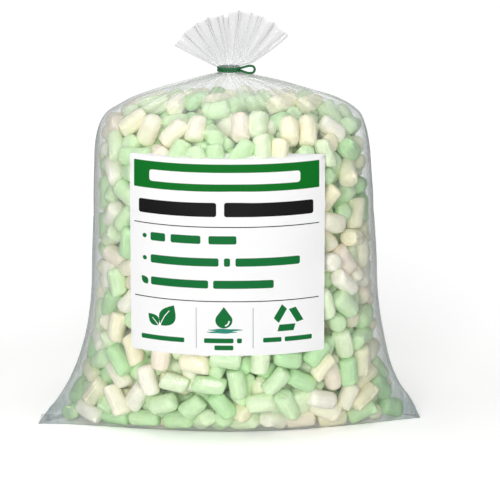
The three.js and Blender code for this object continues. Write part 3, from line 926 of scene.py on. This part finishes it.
def labelMaterial(ink):
    # Satin polypropylene label stock: almost flat, with a slight orange-peel from the press.
    material, tree = newMaterial(f"printedLabel_{ink}")
    place = addNode(tree, "ShaderNodeTexCoord")
    peel = addNode(tree, "ShaderNodeTexNoise", {"Scale": 900.0, "Detail": 2.0},
                   {"Vector": place.outputs["Object"]})
    bump = addNode(tree, "ShaderNodeBump", {"Strength": 0.05, "Distance": 0.0003},
                   {"Height": peel.outputs[0]})
    mottle = addNode(tree, "ShaderNodeTexNoise", {"Scale": 14.0, "Detail": 2.0},
                     {"Vector": place.outputs["Object"]})
    base = linearColour(labelInks[ink])
    darker = tuple(c * 0.965 for c in base[:3]) + (1,)
    colour = addNode(tree, "ShaderNodeMix", {"data_type": "RGBA", 6: darker, 7: base},
                     {0: mottle.outputs[0]})
    face = addNode(tree, "ShaderNodeBsdfPrincipled",
                   {"Roughness": 0.62, "IOR": 1.33, "Specular IOR Level": 0.25},
                   {"Base Color": colour.outputs[2], "Normal": bump.outputs[0]})
    finishMaterial(tree, face.outputs[0])
    return material


def filmFrontAt(x, z, offsetGrid):
    middle, half = sectionAt(z)[:2]
    at = 2 * math.pi - np.arccos(np.clip((x - middle) / half, -1, 1))
    column = at / (2 * math.pi) * filmShape["around"]
    row = np.interp(z, bodyHeights, np.arange(len(bodyHeights)))
    c0, r0 = np.floor(column).astype(int), np.floor(row).astype(int)
    cf, rf = column - c0, row - r0
    c1, r1 = (c0 + 1) % filmShape["around"], np.minimum(r0 + 1, len(bodyHeights) - 1)
    c0 = c0 % filmShape["around"]
    top = offsetGrid[r1, c0] * (1 - cf) + offsetGrid[r1, c1] * cf
    low = offsetGrid[r0, c0] * (1 - cf) + offsetGrid[r0, c1] * cf
    return earBend(x, z) - depthAt(x, z) + low * (1 - rf) + top * rf


def buildLabel():
    zones = labelPrint()
    corners, faces = [], []
    for shape, _ in zones:
        ring = np.array(shape)
        turned = np.roll(ring, -1, 0)
        if (ring[:, 0] * turned[:, 1] - ring[:, 1] * turned[:, 0]).sum() < 0:
            shape = shape[::-1]
        faces.append(list(range(len(corners), len(corners) + len(shape))))
        corners += [Vector(point) for point in shape]
    edges = []
    for k in range(1, labelShape["cells"]):
        share = k / labelShape["cells"]
        for a, b in (((share, 0.002), (share, 0.998)), ((0.002, share), (0.998, share))):
            edges.append((len(corners), len(corners) + 1))
            corners += [Vector(a), Vector(b)]
    spots, _, triangles, _, _, sources = delaunay_2d_cdt(corners, edges, faces, 1, 1e-6)
    flat = np.array([point[:] for point in spots])
    inks = list(labelInks)
    x = np.linspace(labelShape["left"], labelShape["right"], 80)
    z = (labelShape["bottom"] + labelShape["top"]) / 2
    slope = np.gradient(depthAt(x, np.full_like(x, z)), x)
    along = np.cumsum(np.sqrt(1 + slope ** 2))
    along = (along - along[0]) / (along[-1] - along[0])
    placeX = np.interp(flat[:, 0], along, x)
    placeZ = labelShape["top"] - flat[:, 1] * (labelShape["top"] - labelShape["bottom"])
    placeZ = placeZ + labelShape["bow"] * ((2 * flat[:, 0] - 1) ** 2 - 0.4)
    raised = filmOffset - ridges
    for step in (1, 2, 4, 3):  # the highest of the film nearby, then smoothed: it bridges hollows
        for axis in (0, 1):
            beyond = np.minimum(np.roll(raised, step, axis), np.roll(raised, -step, axis))
            raised = np.minimum(beyond, raised)
    smooth = blurGrid(raised, 12)
    placeY = filmFrontAt(placeX, placeZ, smooth) - labelShape["lift"]
    points = np.stack([placeX, placeY, placeZ], -1) * mm
    shown = [i for i, source in enumerate(sources) if source]
    keep = [list(triangles[i]) for i in shown]
    label = pieceFromMesh("frontLabel", points, keep, [labelMaterial(ink) for ink in inks])
    topmost = [inks.index(zones[max(sources[i])][1]) for i in shown]
    label.data.polygons.foreach_set("material_index", topmost)
    editWhole(label, bpy.ops.mesh.normals_make_consistent, inside=False)
    if sum(face.normal.y * face.area for face in label.data.polygons) > 0:
        label.data.flip_normals()
    wall = label.modifiers.new("thickness", "SOLIDIFY")
    wall.thickness = labelShape["thickness"] * mm
    wall.offset = 1
    bpy.ops.object.modifier_apply(modifier="thickness")
    bpy.ops.object.shade_smooth_by_angle(angle=math.radians(35))
    return label


frontLabel = buildLabel()
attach(frontLabel, "root")
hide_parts("front_label")
print("label laid on the film")

# tie: a doubled, plastic-covered cord, with its fold standing out as a loop
tieShape = {
    "level": 513.4, "ring": 16.4,  # height and radius of the turn round the neck
    "cord": 1.75, "pitch": 3.6,  # radius of the cord, and from one strand to the other
    "loopLength": 22, "loopHeight": 5.2,
    "root": -0.35, "turnEnd": -5.75,  # radians, where the loop leaves and where the turn ends
    "sides": 12, "steps": 220,
}


def tieRoute():
    level, ring = tieShape["level"], tieShape["ring"]

    def strand(height, start, end):
        return [(ring * math.cos(a), ring * math.sin(a), level + height)
                for a in np.linspace(start, end, 13)]
    loopX = ring * math.cos(tieShape["root"])
    loopY = ring * math.sin(tieShape["root"]) - 1.5
    reach = tieShape["loopLength"] - tieShape["cord"]
    outAndUp = [(0.32, -0.72), (0.62, -1.0), (0.9, -0.8), (1, 0), (0.9, 0.8), (0.62, 1.0), (0.32, 0.72)]
    loop = [(loopX + out * reach, loopY, level + up * tieShape["loopHeight"]) for out, up in outAndUp]
    low = strand(-tieShape["pitch"] / 2, tieShape["turnEnd"], tieShape["root"])
    high = strand(tieShape["pitch"] / 2, tieShape["root"], tieShape["turnEnd"])
    return np.array(low + loop + high)


def smoothPath(points, count):
    ends = np.concatenate([[2 * points[0] - points[1]], points, [2 * points[-1] - points[-2]]])
    knots = np.concatenate([[0], np.cumsum(np.linalg.norm(np.diff(points, axis=0), axis=1) ** 0.5)])
    at = np.linspace(0, knots[-1], count)
    i = np.clip(np.searchsorted(knots, at, "right") - 1, 0, len(points) - 2)
    t = ((at - knots[i]) / (knots[i + 1] - knots[i]))[:, None]
    p0, p1, p2, p3 = (ends[i + k] for k in range(4))
    return 0.5 * (2 * p1 + (p2 - p0) * t + (2 * p0 - 5 * p1 + 4 * p2 - p3) * t ** 2
                  + (3 * p1 - p0 - 3 * p2 + p3) * t ** 3)


def sweepCord(path, radius, sides):
    tangent = np.gradient(path, axis=0)
    tangent /= np.linalg.norm(tangent, axis=1, keepdims=True)
    across = np.cross(tangent[0], [0, 0, 1.0])
    rings = []
    for k in range(len(path)):
        across = across - tangent[k] * (across @ tangent[k])
        across /= np.linalg.norm(across)
        other = np.cross(tangent[k], across)
        rounding = min(1, 0.55 + 0.45 * min(k, len(path) - 1 - k) / 2)
        rings.append([path[k] + radius * rounding * (math.cos(a) * across + math.sin(a) * other)
                      for a in np.linspace(0, 2 * math.pi, sides, endpoint=False)])
    points = np.array(rings).reshape(-1, 3)
    grid = np.arange(len(points)).reshape(len(path), sides)
    beside = np.roll(grid, -1, 1)
    faces = np.stack([grid[:-1], beside[:-1], beside[1:], grid[1:]], -1).reshape(-1, 4).tolist()
    return points, faces + [grid[0][::-1].tolist(), grid[-1].tolist()]


def tieMaterial():
    # Plastic-covered cord: two coloured strands laid together, smooth and faintly glossy.
    material, tree = newMaterial("plasticCoveredCord")
    lay = addNode(tree, "ShaderNodeUVMap", {"uv_map": "cordMap"})
    slant = addNode(tree, "ShaderNodeMapping", {"Rotation": (0, 0, 0.9)}, {"Vector": lay.outputs[0]})
    strands = addNode(tree, "ShaderNodeTexWave", {"Scale": 150.0, "Distortion": 0.6},
                      {"Vector": slant.outputs[0]})  # strands laid about 2 mm apart
    bump = addNode(tree, "ShaderNodeBump", {"Strength": 0.5, "Distance": 0.0005},
                   {"Height": strands.outputs[0]})
    colour = addNode(tree, "ShaderNodeMix", {"data_type": "RGBA", 6: linearColour("#074f27"),
                                             7: linearColour("#0f6d3a")}, {0: strands.outputs[0]})
    cover = addNode(tree, "ShaderNodeBsdfPrincipled",
                    {"Roughness": 0.38, "IOR": 1.5, "Specular IOR Level": 0.3},
                    {"Base Color": colour.outputs[2], "Normal": bump.outputs[0]})
    finishMaterial(tree, cover.outputs[0])
    return material


cordPath = smoothPath(tieRoute(), tieShape["steps"])
cordPoints, cordFaces = sweepCord(cordPath, tieShape["cord"], tieShape["sides"])
neckTie = pieceFromMesh("neckTie", cordPoints * mm, cordFaces, [tieMaterial()])
neckTie.data.polygons.foreach_set("use_smooth", [len(f) == 4 for f in cordFaces])  # flat cut ends
cordMap = neckTie.data.uv_layers.new(name="cordMap")
runLength = np.r_[0, np.cumsum(np.linalg.norm(np.diff(cordPath, axis=0), axis=1))] * mm
cordGirth = 2 * math.pi * tieShape["cord"] * mm
lastSide = tieShape["sides"] - 1
for face in neckTie.data.polygons:
    places = [divmod(neckTie.data.loops[k].vertex_index, tieShape["sides"]) for k in face.loop_indices]
    closing = any(side == lastSide for _, side in places)  # the last strip ends where the first starts
    for corner, (ring, side) in zip(face.loop_indices, places):
        wrapped = side + tieShape["sides"] if side == 0 and closing else side
        cordMap.data[corner].uv = (runLength[ring], wrapped / tieShape["sides"] * cordGirth)
editWhole(neckTie, bpy.ops.mesh.normals_make_consistent, inside=False)
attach(neckTie, "root")
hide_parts("neck_tie")
print("tie wound round the neck")

# floor, light and backdrop
studio = {
    "world": 0.30, "backdrop": 1.05, "glints": 0.5,
    "floor": "#fafafa", "floorSize": 60, "floorLift": 0.30, "floorLevel": -0.0002,
    "near": 0.45, "far": 2.5, "gainNear": 1.0, "gainFar": 2.4,  # distances, and the floor's tone there
}


def floorMaterial():
    # Painted white board: matt, a little brighter to the eye towards the horizon.
    material, tree = newMaterial("paintedWhiteFloor")
    seen = addNode(tree, "ShaderNodeLightPath")
    place = addNode(tree, "ShaderNodeTexCoord")
    away = addNode(tree, "ShaderNodeVectorMath", {"operation": "LENGTH"}, {0: place.outputs["Object"]})
    gain = addNode(tree, "ShaderNodeMapRange",
                   {1: studio["near"], 2: studio["far"], 3: studio["gainNear"], 4: studio["gainFar"]},
                   {0: away.outputs["Value"]})
    seenGain = addNode(tree, "ShaderNodeMix", {"data_type": "FLOAT", 2: 1.0},
                       {0: seen.outputs["Is Camera Ray"], 3: gain.outputs[0]})
    tone = addNode(tree, "ShaderNodeVectorMath",
                   {"operation": "SCALE", 0: linearColour(studio["floor"])[:3]},
                   {"Scale": seenGain.outputs[0]})
    paint = addNode(tree, "ShaderNodeBsdfDiffuse", None, {"Color": tone.outputs[0]})
    lifted = addNode(tree, "ShaderNodeMath", {"operation": "MULTIPLY", 1: studio["floorLift"]},
                     {0: seen.outputs["Is Camera Ray"]})
    glow = addNode(tree, "ShaderNodeEmission", None, {"Strength": lifted.outputs[0]})
    both = addNode(tree, "ShaderNodeAddShader", None, {0: paint.outputs[0], 1: glow.outputs[0]})
    finishMaterial(tree, both.outputs[0])
    return material


def studioWorld():
    world = bpy.data.worlds.new("studioWorld")
    world.use_nodes = True
    tree = world.node_tree
    tree.nodes.clear()
    seen = addNode(tree, "ShaderNodeLightPath")
    shone = addNode(tree, "ShaderNodeMath",
                    {"operation": "MULTIPLY_ADD", 1: studio["glints"], 2: studio["world"]},
                    {0: seen.outputs["Is Glossy Ray"]})
    level = addNode(tree, "ShaderNodeMix", {"data_type": "FLOAT", 3: studio["backdrop"]},
                    {0: seen.outputs["Is Camera Ray"], 2: shone.outputs[0]})
    sky = addNode(tree, "ShaderNodeBackground", {"Color": (1, 1, 1, 1)}, {"Strength": level.outputs[0]})
    addNode(tree, "ShaderNodeOutputWorld", links={"Surface": sky.outputs[0]})
    return world


bpy.ops.mesh.primitive_plane_add(size=studio["floorSize"], location=(0, 0, studio["floorLevel"]))
studioFloor = bpy.context.object
studioFloor.name = "studioFloor"
studioFloor.data.materials.append(floorMaterial())
bpy.context.scene.world = studioWorld()

softLights = [  # name, place, aimed at, width, height, watts
    ("keyPanel", (-0.4, -2.9, 0.8), (0, 0, 0.26), 1.3, 1.3, 51),
    ("topPanel", (-0.1, -0.3, 2.3), (0, 0, 0.3), 1.6, 1.2, 17),
    ("edgeStripLeft", (-1.5, 0.2, 0.7), (0, 0, 0.3), 0.12, 1.4, 0.9),
    ("edgeStripRight", (1.5, 0.1, 0.7), (0, 0, 0.3), 0.12, 1.4, 0.9),
]
for name, place, aim, width, height, watts in softLights:
    lamp = bpy.data.lights.new(name, "AREA")
    lamp.shape, lamp.size, lamp.size_y, lamp.energy = "RECTANGLE", width, height, watts
    panel = bpy.data.objects.new(name, lamp)
    bpy.context.collection.objects.link(panel)
    panel.location = place
    panel.rotation_euler = (Vector(place) - Vector(aim)).to_track_quat("Z", "Y").to_euler()
scene = bpy.context.scene
scene.view_settings.view_transform = "Standard"
scene.view_settings.look = "None"
scene.cycles.transparent_max_bounces = 24  # many layers of film can lie one behind another
scene.cycles.diffuse_bounces = 6  # light goes deep between the pale peanuts
scene.cycles.max_bounces = 10
print("studio lit")
